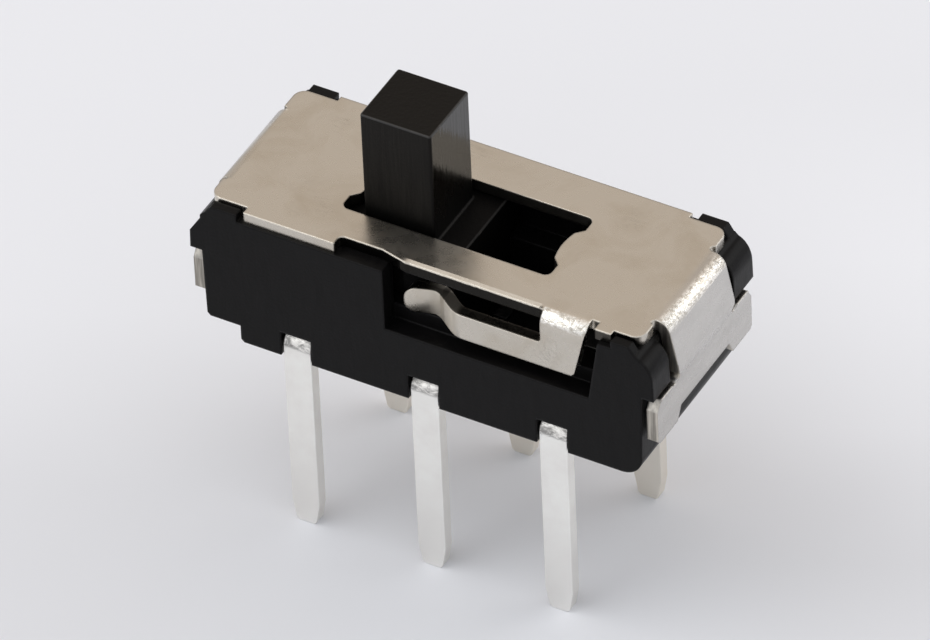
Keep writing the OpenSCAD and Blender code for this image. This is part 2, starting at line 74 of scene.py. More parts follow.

# Where the cover's finishes, painted highlights and painted shade lie, in millimetres: the place
# where each begins, and is full
SLOT_END_X = (2.12, 2.08)
SLOT_SIDE_Y = (0.9, 0.86)
SLOT_ARRIS_X = (2.30, 2.26)
SLOT_ARRIS_FRONT_Y = (0.0, 0.1)
SLOT_ARRIS_REAR_Y = (1.1, 1.0)
STRAP_CUT_X = (4.12, 4.16)
STRAP_REFLECTION_X = (4.1, 4.3)
PAST_LEFT_FOLD_X = (-3.9, -3.8)
FRONT_Y = (-1.2, -1.3)
SHADE_LEFT_X = (-1.68, -1.64)
FLANGE_LEFT_X = (2.33, 2.30)
FLANGE_RIGHT_X = (3.22, 3.26)
CORNER_X = (4.15, 4.1)
SHADE_RIGHT_X = (3.2, 3.3)
SHADE_RIGHT_SHARE = 0.9
ROLLED_Y = (-1.50, -1.62)
ROLLED_LEFT_X = (-0.45, -0.25)
ROLLED_RIGHT_X = (2.33, 2.25)
CRANK_SWEEP_X = (0.60, 0.24)
CRANK_LEFT_X = (-0.1, 0.1)
CRANK_RIGHT_X = (0.75, 0.65)
CRANK_Y = (-1.0, -1.1)
TIP_RIGHT_X = (0.34, 0.22)
TIP_CENTRE = (-0.30, 2.2)
TIP_RADIUS = 0.6

# The same, in height
FOLD_Z = (PLATE_TOP - 0.38, PLATE_TOP - 0.30)
SHADE_Z = (PLATE_TOP - 0.34, PLATE_TOP - 0.30)
PLATE_Z = (PLATE_TOP - 0.34, PLATE_TOP - 0.24)
ARRIS_Z = (PLATE_TOP + 0.01, PLATE_TOP - 0.01)
ARM_Z = (PLATE_TOP - 0.44, PLATE_TOP - 0.49)
ARM_UPPER_Z = (PLATE_TOP - 0.44, PLATE_TOP - 0.54)

# Where the terminals' finishes and painted shade lie, in millimetres
LEG_SHADE_Z = (-1.2, -3.4)
REAR_ROW_Y = (0.0, 0.1)
BEND_Z = (0.27, 0.31)
UNDER_BODY_Y = (1.55, 1.45)
UNDER_BODY_Z = (0.1, 0.15)

# Where the slider's finishes and painted shade lie, in millimetres
MATT_BELOW_Z = PLATE_TOP - 0.04
KNOB_SIDE_Z = PLATE_TOP + 0.02
KNOB_FACE_LIT_RUBBED_Z = 5.04
KNOB_SIDE_LIT_RUBBED_Z = 4.7

# Depths of the relief, in millimetres
KNOB_FACE_STREAK = 0.006
KNOB_SIDE_STREAK = 0.004
WORN_RELIEF = 0.004
FOLD_RELIEF = 0.02
ROLLED_RELIEF = 0.045
DOME_RELIEF = 0.12
ARRIS_RELIEF = 0.003
DRAWN_RELIEF = 0.0015
SCRAPED_RELIEF = 0.03
TIN_RELIEF = 0.008
BRONZE_RELIEF = 0.002

# Rounding of the frame's edges, in millimetres and degrees
EDGE_SAMPLES = 6
WELD_DISTANCE = 0.0005
FLAT_ANGLE = 0.6
CONTACT_EDGE = 0.012
FACING_SHARE = 0.9

# The room, the lamps and the floor, in metres; directions lead away from the switch
WALL_DIRECTION = (-0.38, 0.65, 0.66)
KEY_DIRECTION = (-0.60, -0.47, 0.65)
SIDE_DIRECTION = (0.66, 0.65, 0.38)
FLOOR_BACK = (-0.447, 0.894, 0.0)
FLOOR_RIGHT = (0.876, 0.482, 0.0)
FLOOR_HALF = 0.6

# The camera, in millimetres: its axes, the point that it looks at and how far away it stands
CAMERA_RIGHT = Vector((0.87561, 0.48178, -0.03453))
CAMERA_UP = Vector((-0.29604, 0.59180, 0.74975))
CAMERA_BACK = Vector((0.38166, -0.64627, 0.66081))
CAMERA_AIM = Vector((-0.244, 0.157, 0.294))
CAMERA_DISTANCE = 206.216
SENSOR_WIDTH = 36.0


# ---- Sizes and colours a user would change ----


def length(name, description, default, low, high):
    """A length in metres, given in millimetres with its limits."""
    return FloatProperty(
        name=name,
        description=description,
        default=default * MM,
        min=low * MM,
        max=high * MM,
        precision=6,
        unit="LENGTH",
    )


def colour(name, description, default):
    """A linear colour."""
    return FloatVectorProperty(
        name=name,
        description=description,
        default=default,
        min=0.0,
        max=1.0,
        size=3,
        subtype="COLOR",
    )


def share(name, description, default):
    """A number from 0 to 1."""
    return FloatProperty(
        name=name,
        description=description,
        default=default,
        min=0.0,
        max=1.0,
        subtype="FACTOR",
    )


def power(name, description, default):
    """A lamp's power in watts."""
    return FloatProperty(
        name=name, description=description, default=default, min=0.0, unit="POWER"
    )


class PlasticSettings(PropertyGroup):
    """Finish of the moulded parts."""

    housing_colour: colour("Housing", "Colour of the housing's plastic", (0.0036, 0.0034, 0.0035))
    slider_colour: colour("Slider", "Colour of the slider's plastic", (0.0030, 0.0025, 0.0020))
    gloss: share("Roughness", "Roughness of the moulded faces", 0.34)
    side_gloss: share("Side roughness", "Roughness of the knob's rubbed side", 0.12)
    housing_edge: length("Housing edges", "Radius on the housing's edges", 0.06, 0.0, 0.1)
    slider_edge: length("Slider edges", "Radius on the slider's edges", 0.035, 0.0, 0.045)
    grain: length("Grain", "Height of the moulded grain", 0.004, 0.0, 0.02)


class CoverSettings(PropertyGroup):
    """Finish of the folded sheet."""

    nickel_colour: colour("Nickel", "Colour of the plated sheet", (0.64, 0.60, 0.53))
    stain_colour: colour("Stains", "Colour of the cloudy stains", (0.57, 0.52, 0.44))
    gloss: share("Roughness", "Roughness of the plated sheet", 0.27)
    edge: length("Edges", "Radius on the sheet's edges", 0.05, 0.0, 0.08)
    grain: length("Grain", "Height of the rolled grain", 0.0006, 0.0, 0.01)


class TerminalSettings(PropertyGroup):
    """Finish of the terminals and of the sliding contacts."""

    tin_colour: colour("Tin", "Colour of the plated terminals", (0.99, 0.97, 0.93))
    bronze_colour: colour("Bronze", "Colour of the sliding contacts", (0.62, 0.40, 0.18))
    gloss: share("Roughness", "Roughness of the tin", 0.38)
    edge: length("Edges", "Radius on the terminals' edges", 0.022, 0.0, 0.05)


class StageSettings(PropertyGroup):
    """Floor, lamps and camera."""

    floor_colour: colour("Floor", "Colour of the floor", (0.815, 0.83, 0.87))
    sky_colour: colour("Sky", "Colour of the soft light all round", (0.80, 0.81, 0.83))
    wall_colour: colour("Wall", "Colour of the room's dimmer, warmer side", (0.65, 0.585, 0.53))
    key_power: power("Key lamp", "Power of the key lamp", 0.68)
    side_power: power("Side lamp", "Power of the side lamp", 0.13)
    lens: FloatProperty(
        name="Lens",
        description="Focal length",
        default=464.5,
        min=50.0,
        max=1000.0,
        unit="CAMERA",
    )


# ---- Shader nodes ----


def add_node(tree, kind, values=None, links=None, **settings):
    """Adds a node, sets its options and sockets, and links sockets into it."""
    node = tree.nodes.new(kind)
    for key, value in settings.items():
        setattr(node, key, value)
    for key, value in (values or {}).items():
        node.inputs[key].default_value = value
    for key, socket in (links or {}).items():
        tree.links.new(socket, node.inputs[key])
    return node


def set_socket(tree, socket, value):
    """Links a socket into another, or sets it to a number or a colour."""
    if isinstance(value, bpy.types.NodeSocket):
        tree.links.new(value, socket)
    elif isinstance(value, tuple):
        socket.default_value = (*value, 1.0)
    else:
        socket.default_value = value


def new_material(name, metallic=0.0):
    """A new material with a principled shader; gives the material, its tree and the shader."""
    material = bpy.data.materials.new(name)
    material.use_nodes = True
    tree = material.node_tree
    tree.nodes.clear()
    shader = add_node(tree, "ShaderNodeBsdfPrincipled", {"Metallic": metallic})
    add_node(tree, "ShaderNodeOutputMaterial", links={"Surface": shader.outputs[0]})
    return material, tree, shader


def connect(tree, shader, tint, rough, normal):
    """Links a finish's colour, roughness and normal into its shader."""
    tree.links.new(tint, shader.inputs["Base Color"])
    tree.links.new(rough, shader.inputs["Roughness"])
    tree.links.new(normal, shader.inputs["Normal"])


def millimetres(tree, stretch=(1.0, 1.0, 1.0)):
    """The object's own coordinates in millimetres, stretched."""
    place = add_node(tree, "ShaderNodeTexCoord")
    scale = [1.0 / (MM * s) for s in stretch]
    mapping = add_node(
        tree, "ShaderNodeMapping", {"Scale": scale}, {"Vector": place.outputs["Object"]}
    )
    return mapping.outputs[0]


def axes(tree, vector):
    """The X, Y and Z of a vector."""
    return tuple(add_node(tree, "ShaderNodeSeparateXYZ", links={0: vector}).outputs)


def along(tree, vector, direction):
    """How far a vector reaches along a direction."""
    aim = add_node(
        tree, "ShaderNodeVectorMath", {1: direction}, {0: vector}, operation="DOT_PRODUCT"
    )
    return aim.outputs["Value"]


def facing(tree):
    """How far the surface faces along each axis, without sign, and its place in millimetres."""
    normal = add_node(tree, "ShaderNodeNewGeometry").outputs["Normal"]
    size = add_node(tree, "ShaderNodeVectorMath", links={0: normal}, operation="ABSOLUTE")
    return axes(tree, size.outputs[0]), axes(tree, millimetres(tree))


def cloud(tree, place, scale, detail=3.0, roughness=0.5, distortion=0.0):
    """Noise from 0 to 1; scale is in features a millimetre."""
    noise = add_node(
        tree,
        "ShaderNodeTexNoise",
        {"Scale": scale, "Detail": detail, "Roughness": roughness, "Distortion": distortion},
        {"Vector": place},
    )
    return noise.outputs["Fac"]


def ramp(tree, source, low, high, start=0.0, end=1.0):
    """Maps low..high to start..end, clamped."""
    node = add_node(
        tree,
        "ShaderNodeMapRange",
        {"From Min": low, "From Max": high, "To Min": start, "To Max": end},
        {"Value": source},
    )
    return node.outputs[0]


def blend_colour(tree, amount, first, second):
    """Mixes two colours, each a socket or a colour."""
    node = add_node(tree, "ShaderNodeMix", links={0: amount}, data_type="RGBA")
    set_socket(tree, node.inputs[6], first)
    set_socket(tree, node.inputs[7], second)
    return node.outputs[2]


def calculate(tree, operation, first, second=0.0):
    """One step of arithmetic on sockets or numbers."""
    node = add_node(tree, "ShaderNodeMath", operation=operation)
    set_socket(tree, node.inputs[0], first)
    set_socket(tree, node.inputs[1], second)
    return node.outputs[0]


def product(tree, first, *others):
    """All the factors multiplied together."""
    for other in others:
        first = calculate(tree, "MULTIPLY", first, other)
    return first


def raised(tree, base, amount, factor):
    """A base with a share of another value added."""
    return calculate(tree, "ADD", base, calculate(tree, "MULTIPLY", amount, factor))


def lowered(tree, base, amount, factor):
    """A base with a share of another value taken away."""
    return calculate(tree, "SUBTRACT", base, calculate(tree, "MULTIPLY", amount, factor))


def soft_edges(tree, radius):
    """The surface's normal, rounded over the edges."""
    node = add_node(tree, "ShaderNodeBevel", {"Radius": radius}, samples=EDGE_SAMPLES)
    return node.outputs[0]


def relief(tree, height, depth, strength=1.0, under=None):
    """The normal bumped by height times depth, over an earlier bump."""
    node = add_node(
        tree,
        "ShaderNodeBump",
        {"Strength": strength, "Distance": depth},
        {"Height": height},
    )
    if under is not None:
        tree.links.new(under, node.inputs["Normal"])
    return node.outputs[0]


def scaled(colour_value, factor):
    """A colour times a number."""
    return tuple(min(1.0, c * factor) for c in colour_value)


# ---- Plastic ----


def dusty_tint(tree, base, place, flow):
    """Colour of a moulded face: cloudy along the flow, with specks of dust."""
    shade = ramp(tree, flow, 0.3, 0.7)
    dust = ramp(tree, cloud(tree, place, 9.0, detail=6.0, roughness=0.75), 0.66, 0.74, 0.0, 0.55)
    body = blend_colour(tree, shade, scaled(base, 0.8), scaled(base, 1.25))
    return blend_colour(tree, dust, body, scaled(base, 3.2))


def painted_light_and_rubbing_towards(tree, place, lit_and_rubbed_top):
    """A share that grows up to a height, with a wavy lower edge: painted light that leaves a face
    darker towards the bottom, and how smooth it is rubbed.
    """
    height = axes(tree, place)[2]
    bands = cloud(tree, millimetres(tree, (0.22, 0.22, 3.0)), 1.0, detail=3.0, roughness=0.5)
    return ramp(tree, raised(tree, height, bands, 1.6), lit_and_rubbed_top - 1.1, lit_and_rubbed_top + 0.6)


def plastic_finish(name, base, roughness, grain, edge, streak=0.0, gleam=0.11, lit_and_rubbed_top=None):
    """Moulded black nylon with flow marks and fine grain, and either dust, or painted shade towards
    the bottom and smoother rubbing up to a top.
    """
    material, tree, shader = new_material(name)
    shader.inputs["Specular IOR Level"].default_value = gleam
    place = millimetres(tree)
    drawn_up = millimetres(tree, (0.35, 0.35, 1.6))
    flow = cloud(tree, drawn_up, 2.2, detail=5.0, roughness=0.6, distortion=0.4)
    rough = ramp(tree, flow, 0.25, 0.75, roughness * 0.85, min(1.0, roughness * 1.2))
    if lit_and_rubbed_top is None:
        tint = dusty_tint(tree, base, place, flow)
    else:
        # Painted shade: the face is darker towards the bottom and paler towards the top, and
        # smoother towards the top
        rubbed = painted_light_and_rubbing_towards(tree, place, lit_and_rubbed_top)
        tint = blend_colour(tree, rubbed, scaled(base, 0.4), scaled(base, 2.0))
        rough = calculate(tree, "ADD", rough, ramp(tree, rubbed, 0.0, 1.0, 0.22, 0.0))
    grains = cloud(tree, place, 22.0, detail=4.0, roughness=0.6)
    fine = relief(tree, grains, grain, strength=0.6, under=soft_edges(tree, edge))
    if streak > 0.0:
        upright = millimetres(tree, (0.12, 0.12, 2.5))
        lines = cloud(tree, upright, 1.6, detail=3.0, roughness=0.55, distortion=0.2)
        fine = relief(tree, lines, streak, under=fine)
    connect(tree, shader, tint, rough, relief(tree, flow, grain * 2.0, strength=0.5, under=fine))
    return material


def worn_plastic_highlight_finish(name, base, roughness, edge, matt_below=None):
    """The rubbed edge of a moulding, paler and smoother than its faces, and matt below a height; its
    paler colour is partly rubbing and partly a painted highlight.
    """
    material, tree, shader = new_material(name)
    place = millimetres(tree)
    wear_and_highlight = ramp(tree, cloud(tree, place, 5.0, detail=5.0, roughness=0.65), 0.35, 0.7)
    nicks = ramp(tree, cloud(tree, place, 7.0, detail=3.0, roughness=0.6), 0.66, 0.70, 0.0, 0.5)
    # Painted highlight: the edge is paler in patches, partly from rubbing
    tint = blend_colour(tree, wear_and_highlight, scaled(base, 1.2), scaled(base, 3.0))
    tint = blend_colour(tree, nicks, tint, NICK_TINT)
    rough = ramp(tree, wear_and_highlight, 0.0, 1.0, roughness * 1.1, roughness * 0.8)
    if matt_below is not None:
        inside = ramp(tree, axes(tree, place)[2], matt_below, matt_below - 0.1)
        rough = calculate(tree, "MAXIMUM", rough, calculate(tree, "MULTIPLY", inside, 0.9))
    rubbed = cloud(tree, place, 14.0, detail=4.0, roughness=0.6)
    normal = relief(tree, rubbed, WORN_RELIEF * MM, strength=0.7, under=soft_edges(tree, edge))
    connect(tree, shader, tint, rough, normal)
    return material


# ---- Folded sheet ----


def cut_faces(tree):
    """Where the sheet's sheared edges show: beside the straps and ears and inside the slot."""
    turned, place = facing(tree)
    off_centre = calculate(tree, "ABSOLUTE", place[0])
    across = calculate(tree, "ABSOLUTE", place[1])
    side = product(
        tree, ramp(tree, turned[1], *TURNED_SIDEWAYS), ramp(tree, off_centre, *STRAP_CUT_X)
    )
    inside = product(tree, ramp(tree, off_centre, *SLOT_END_X), ramp(tree, across, *SLOT_SIDE_Y))
    slot = product(tree, ramp(tree, turned[2], *TURNED_IN_SLOT), inside)
    return calculate(tree, "MAXIMUM", side, slot), slot


def painted_shade_front(tree):
    """Where painted shade darkens the front edge, apart from the flange, and the arm's upper edge.
    """
    turned, (x, y, z) = facing(tree)
    upright = ramp(tree, turned[2], *TURNED_UPRIGHT)
    left_of_flange = ramp(tree, x, *FLANGE_LEFT_X)
    right_of_flange = product(tree, ramp(tree, x, *FLANGE_RIGHT_X), ramp(tree, x, *CORNER_X))
    beside = calculate(tree, "ADD", left_of_flange, right_of_flange)
    where = product(tree, beside, ramp(tree, y, *FRONT_Y))
    ragged = cloud(tree, millimetres(tree, (0.25, 1.0, 1.0)), 2.0, detail=4.0, roughness=0.6)
    face = product(
        tree,
        ramp(tree, raised(tree, z, ragged, 0.04), *ARRIS_Z),
        upright,
        ramp(tree, z, *SHADE_Z),
        ramp(tree, x, *SHADE_LEFT_X),
        ramp(tree, x, *SHADE_RIGHT_X, 1.0, SHADE_RIGHT_SHARE),
    )
    arm = product(tree, ramp(tree, turned[2], *TURNED_UP), 0.8, ramp(tree, z, *ARM_UPPER_Z))
    return product(tree, calculate(tree, "MAXIMUM", face, arm), where)


def rolled_edge(tree):
    """How high the plate's top stands: lower along the set-back's edge, rolled down in cutting."""
    x, y, z = facing(tree)[1]
    ragged = cloud(tree, millimetres(tree, (0.3, 1.0, 1.0)), 2.0, detail=3.0, roughness=0.6)
    drop = product(
        tree,
        ramp(tree, lowered(tree, y, ragged, 0.03), *ROLLED_Y),
        ramp(tree, x, *ROLLED_LEFT_X),
        ramp(tree, x, *ROLLED_RIGHT_X),
        ramp(tree, z, *PLATE_Z),
    )
    return calculate(tree, "SUBTRACT", 1.0, drop)


def arm_dome(tree):
    """How high the spring arm's tip and crank stand: the tip is domed, the crank swept."""
    x, _, z = facing(tree)[1]
    off_x = calculate(tree, "SUBTRACT", x, TIP_CENTRE[0])
    off_z = calculate(tree, "SUBTRACT", z, TIP_CENTRE[1])
    squares = calculate(tree, "ADD", product(tree, off_x, off_x), product(tree, off_z, off_z))
    dome = ramp(tree, squares, 0.0, TIP_RADIUS**2, 0.0, -1.0)
    dome = product(tree, dome, ramp(tree, x, *TIP_RIGHT_X))
    swept = ramp(tree, x, *CRANK_SWEEP_X)
    return product(tree, ramp(tree, z, *ARM_Z), calculate(tree, "ADD", swept, dome))


def arm_bend(tree):
    """Where the spring arm is cranked."""
    x, y, z = facing(tree)[1]
    return product(
        tree,
        ramp(tree, x, *CRANK_LEFT_X),
        ramp(tree, x, *CRANK_RIGHT_X),
        ramp(tree, z, *ARM_Z),
        ramp(tree, y, *CRANK_Y),
    )


def folded_faces(tree):
    """Where the sheet is stretched round its folds, apart from the smooth fold at the left."""
    turned, (x, _, z) = facing(tree)
    return product(
        tree,
        ramp(tree, turned[2], *OFF_LEVEL),
        ramp(tree, turned[2], *OFF_UPRIGHT),
        ramp(tree, x, *PAST_LEFT_FOLD_X),
        ramp(tree, z, *FOLD_Z),
    )


def stains_and_strap_reflection_tint(tree, base, stain, clouds, fine):
    """Colour of the plated plate with its cloudy stains, and of the straps at its ends, given a
    cooler painted reflection in bands.
    """
    mottled = product(tree, ramp(tree, clouds, 0.45, 0.68), ramp(tree, fine, 0.3, 0.7, 0.6, 1.0))
    # Painted reflection: the straps at the ends get a cooler, duller copy of the nickel, in bands
    bands = ramp(tree, cloud(tree, millimetres(tree, (1.0, 1.2, 0.3)), 1.0, detail=2.0), 0.4, 0.6)
    straps = blend_colour(tree, bands, STRAP_REFLECTION_TINT, scaled(STRAP_REFLECTION_TINT, 0.93))
    off_centre = calculate(tree, "ABSOLUTE", facing(tree)[1][0])
    plate = blend_colour(tree, mottled, base, stain)
    return blend_colour(tree, ramp(tree, off_centre, *STRAP_REFLECTION_X), plate, straps)


def scratches(tree, place):
    """Rare thin scratches along the rolled sheet."""
    lengthwise = millimetres(tree, (1.4, 0.35, 1.0))
    marks = cloud(tree, lengthwise, 1.3, detail=6.0, roughness=0.72, distortion=1.2)
    off_line = calculate(tree, "ABSOLUTE", calculate(tree, "SUBTRACT", marks, 0.5))
    rare = ramp(tree, cloud(tree, place, 0.7, detail=2.0), 0.56, 0.66, 0.0, 0.5)
    return product(tree, ramp(tree, off_line, 0.012, 0.0), rare)


def sheared_and_shaded_tint(tree, base):
    """Colour of the sheet's cut faces: streaked where the punch tore them, and darkened by painted
    shade.
    """
    streaks = cloud(tree, millimetres(tree, (0.09, 0.09, 1.6)), 1.0, detail=3.0, roughness=0.6)
    share_of_bright = ramp(tree, streaks, 0.38, 0.62)
    return blend_colour(tree, share_of_bright, scaled(base, 0.42), scaled(base, 0.98))


def nickel_finish(name, base, stain, roughness, grain, edge):
    """Satin nickel on rolled sheet: cloudy stains and scratches, a painted highlight on the folds, a
    painted reflection on the straps, and painted shade on the cut faces, in the slot and along the
    front edges.
    """
    material, tree, shader = new_material(name, metallic=1.0)
    place = millimetres(tree)
    clouds = cloud(tree, place, 0.9, detail=6.0, roughness=0.62, distortion=0.8)
    fine = cloud(tree, place, 4.0, detail=3.0, roughness=0.5, distortion=0.3)
    grains = cloud(tree, millimetres(tree, (1.0, 1.0, 0.6)), 10.0, detail=3.0, roughness=0.7)
    fold = folded_faces(tree)
    cut, slot = cut_faces(tree)

    # Painted highlight: the folds get a brighter colour, grainy where the metal is stretched
    stretched = blend_colour(tree, ramp(tree, grains, 0.42, 0.56), scaled(base, 0.95), PAINTED_HIGHLIGHT_TINT)
    tint = stains_and_strap_reflection_tint(tree, base, stain, clouds, fine)
    tint = blend_colour(tree, scratches(tree, place), tint, scaled(base, 0.55))
    tint = blend_colour(tree, fold, tint, stretched)
    # Cut faces: streaks of the shearing, darkened partly by painted shade
    tint = blend_colour(tree, cut, tint, sheared_and_shaded_tint(tree, base))
    # Painted shade: the slot's cut faces are darkened nearly to black
    tint = blend_colour(tree, slot, tint, scaled(base, 0.16))
    # Painted shade: the front cut edges and the arm's upper edge are darkened nearly to black
    tint = blend_colour(tree, painted_shade_front(tree), tint, scaled(base, 0.03))

    rough = ramp(tree, fine, 0.25, 0.75, roughness * 0.9, roughness * 1.15)
    rough = lowered(tree, rough, fold, 0.06)
    rough = raised(tree, rough, cut, 0.12)
    rough = raised(tree, rough, arm_bend(tree), 0.3)

    lines = cloud(tree, millimetres(tree, (4.0, 0.06, 0.4)), 1.5, detail=4.0, roughness=0.6)
    normal = relief(tree, lines, grain, strength=0.25, under=soft_edges(tree, edge))
    normal = relief(tree, product(tree, grains, fold), FOLD_RELIEF * MM, strength=0.9, under=normal)
    normal = relief(tree, rolled_edge(tree), ROLLED_RELIEF * MM, under=normal)
    normal = relief(tree, arm_dome(tree), DOME_RELIEF * MM, under=normal)
    normal = relief(tree, clouds, grain * 6.0, strength=0.5, under=normal)
    connect(tree, shader, tint, rough, normal)
    return material


def burnished_painted_light_finish(name, base, roughness, edge):
    """The arris along the sheet's edges: rolled over and dimpled, with a painted highlight, and
    painted shade behind the slot and along the front edges.
    """
    material, tree, shader = new_material(name, metallic=1.0)
    place = millimetres(tree)
    x, y, _ = axes(tree, place)
    dimples = cloud(tree, place, 9.0, detail=4.0, roughness=0.7)
    # Painted highlight: the arris gets a brighter colour in dimpled patches
    tint = blend_colour(tree, ramp(tree, dimples, 0.3, 0.7), scaled(base, 1.1), PAINTED_HIGHLIGHT_TINT)
    # Painted shade: the slot's rear arris and the front edges are darkened
    slot_rear = product(
        tree,
        ramp(tree, calculate(tree, "ABSOLUTE", x), *SLOT_ARRIS_X),
        ramp(tree, y, *SLOT_ARRIS_FRONT_Y),
        ramp(tree, y, *SLOT_ARRIS_REAR_Y),
    )
    painted_shade_arris = calculate(tree, "MAXIMUM", slot_rear, painted_shade_front(tree))
    tint = blend_colour(tree, painted_shade_arris, tint, scaled(base, 0.12))
    rough = ramp(tree, dimples, 0.3, 0.7, roughness * 0.8, roughness * 1.2)
    normal = relief(tree, dimples, ARRIS_RELIEF * MM, strength=0.6, under=soft_edges(tree, edge))
    connect(tree, shader, tint, rough, normal)
    return material


# ---- Terminals and contacts ----


def tin_finish(name, base, roughness, edge):
    """Matt tin over brass strip: soft clouds, specks, drawn lines and bends that were scraped, with
    painted shade on the rear row, towards the legs' tips and inside the body.
    """
    material, tree, shader = new_material(name, metallic=1.0)
    place = millimetres(tree)
    _, y, z = axes(tree, place)
    clouds = cloud(tree, place, 2.4, detail=5.0, roughness=0.6)
    specks = ramp(tree, cloud(tree, place, 11.0, detail=5.0, roughness=0.75), 0.69, 0.76)
    squat = millimetres(tree, (1.0, 1.0, 0.5))
    blotch = cloud(tree, squat, 4.5, detail=5.0, roughness=0.7, distortion=0.6)
    bend = ramp(tree, raised(tree, z, blotch, 0.16), *BEND_Z)
    under_body = product(
        tree,
        ramp(tree, calculate(tree, "ABSOLUTE", y), *UNDER_BODY_Y),
        ramp(tree, z, *UNDER_BODY_Z),
    )

    scraped = ramp(tree, blotch, 0.42, 0.58)
    worn = blend_colour(tree, scraped, scaled(base, 0.35), scaled(base, 0.92))
    # Painted shade: the rear row behind the body is darker and warmer
    rear_row_shade = (base[0] * 0.86, base[1] * 0.82, base[2] * 0.75)
    tint = blend_colour(tree, ramp(tree, clouds, 0.3, 0.7), scaled(base, 0.95), scaled(base, 1.03))
    tint = blend_colour(tree, specks, tint, scaled(base, 0.5))
    # Painted shade: the legs darken towards their tips
    tint = blend_colour(tree, ramp(tree, z, *LEG_SHADE_Z), tint, scaled(base, 0.88))
    tint = blend_colour(tree, ramp(tree, y, *REAR_ROW_Y, 0.0, 0.7), tint, rear_row_shade)
    tint = blend_colour(tree, bend, tint, worn)
    # Painted shade: the terminal parts inside the body are darkened nearly to black
    tint = blend_colour(tree, under_body, tint, scaled(base, 0.06))

    rough = ramp(tree, clouds, 0.3, 0.7, roughness * 0.9, roughness * 1.15)
    drawn = cloud(tree, millimetres(tree, (0.08, 0.08, 3.0)), 1.5, detail=3.0, roughness=0.5)
    normal = relief(tree, drawn, DRAWN_RELIEF * MM, strength=0.6, under=soft_edges(tree, edge))
    dents = product(tree, blotch, bend)
    normal = relief(tree, dents, SCRAPED_RELIEF * MM, strength=0.8, under=normal)
    normal = relief(tree, clouds, TIN_RELIEF * MM, strength=0.5, under=normal)
    connect(tree, shader, tint, rough, normal)
    return material


def bronze_finish(name, base):
    """Spring bronze, cloudy, with fine lines along the strip."""
    material, tree, shader = new_material(name, metallic=1.0)
    shader.inputs["Specular Tint"].default_value = BRONZE_SHEEN
    clouds = cloud(tree, millimetres(tree), 3.0, detail=5.0, roughness=0.6)
    tint = blend_colour(tree, ramp(tree, clouds, 0.35, 0.7), base, scaled(base, 0.7))
    rough = ramp(tree, clouds, 0.3, 0.7, 0.2, 0.36)
    lines = cloud(tree, millimetres(tree, (3.0, 0.08, 1.0)), 1.5, detail=3.0, roughness=0.5)
    connect(tree, shader, tint, rough, relief(tree, lines, BRONZE_RELIEF * MM, strength=0.6))
    return material


# ---- Rounding the frame's sharp edges ----


def new_group(name):
    """An empty geometry-nodes group with its input and output nodes."""
    group = bpy.data.node_groups.new(name, "GeometryNodeTree")
    group.interface.new_socket("Geometry", in_out="INPUT", socket_type="NodeSocketGeometry")
    group.interface.new_socket("Geometry", in_out="OUTPUT", socket_type="NodeSocketGeometry")
    return group, group.nodes.new("NodeGroupInput"), group.nodes.new("NodeGroupOutput")


def scale_group(factor):
    """A node group that scales a mesh about the origin, so that the bevel works on round sizes."""
    name = "scale_up" if factor > 1.0 else "scale_down"
    if name in bpy.data.node_groups:
        return bpy.data.node_groups[name]
    group, start, end = new_group(name)
    move = add_node(
        group, "GeometryNodeTransform", {"Scale": (factor, factor, factor)}, {0: start.outputs[0]}
    )
    group.links.new(move.outputs[0], end.inputs[0])
    return group


def face_group(name, slot, direction, low_z):
    """A node group that gives the faces that look one way, above a height, their own finish."""
    group, start, end = new_group(name)
    normal = group.nodes.new("GeometryNodeInputNormal").outputs[0]
    place = group.nodes.new("GeometryNodeInputPosition").outputs[0]
    turned = calculate(group, "GREATER_THAN", along(group, normal, direction), FACING_SHARE)
    high = calculate(group, "GREATER_THAN", axes(group, place)[2], low_z)
    paint = add_node(
        group,
        "GeometryNodeSetMaterialIndex",
        {"Material Index": slot},
        {"Geometry": start.outputs[0], "Selection": product(group, turned, high)},
    )
    group.links.new(paint.outputs[0], end.inputs[0])
    return group


def add_group(piece, name, group):
    """Adds a geometry-nodes modifier to a piece."""
    piece.modifiers.new(name, "NODES").node_group = group


def round_edges(piece, radius, segments, angle=32.0, edge_slot=None, paint=None):
    """Rounds a piece's sharp edges with modifiers; paint is a group that gives faces a finish."""
    add_group(piece, "to_millimetres", scale_group(1.0 / MM))
    weld = piece.modifiers.new("join_faces", "WELD")
    weld.merge_threshold = WELD_DISTANCE
    flat = piece.modifiers.new("flat_faces", "DECIMATE")
    flat.decimate_type = "DISSOLVE"
    flat.angle_limit = math.radians(FLAT_ANGLE)
    if paint is not None:
        add_group(piece, "face_finish", paint)
    bevel = piece.modifiers.new("rounded_edges", "BEVEL")
    bevel.width = radius / MM
    bevel.segments = segments
    bevel.limit_method = "ANGLE"
    bevel.angle_limit = math.radians(angle)
    bevel.miter_outer = "MITER_SHARP"
    bevel.use_clamp_overlap = True
    bevel.harden_normals = True
    if edge_slot is not None:
        bevel.material = edge_slot
    add_group(piece, "to_metres", scale_group(MM))


def dress(name, *materials):
    """Gives a frame node its materials, in slot order."""
    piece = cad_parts[name]
    piece.data.materials.clear()
    for material in materials:
        piece.data.materials.append(material)
    return piece


# ---- Stage ----


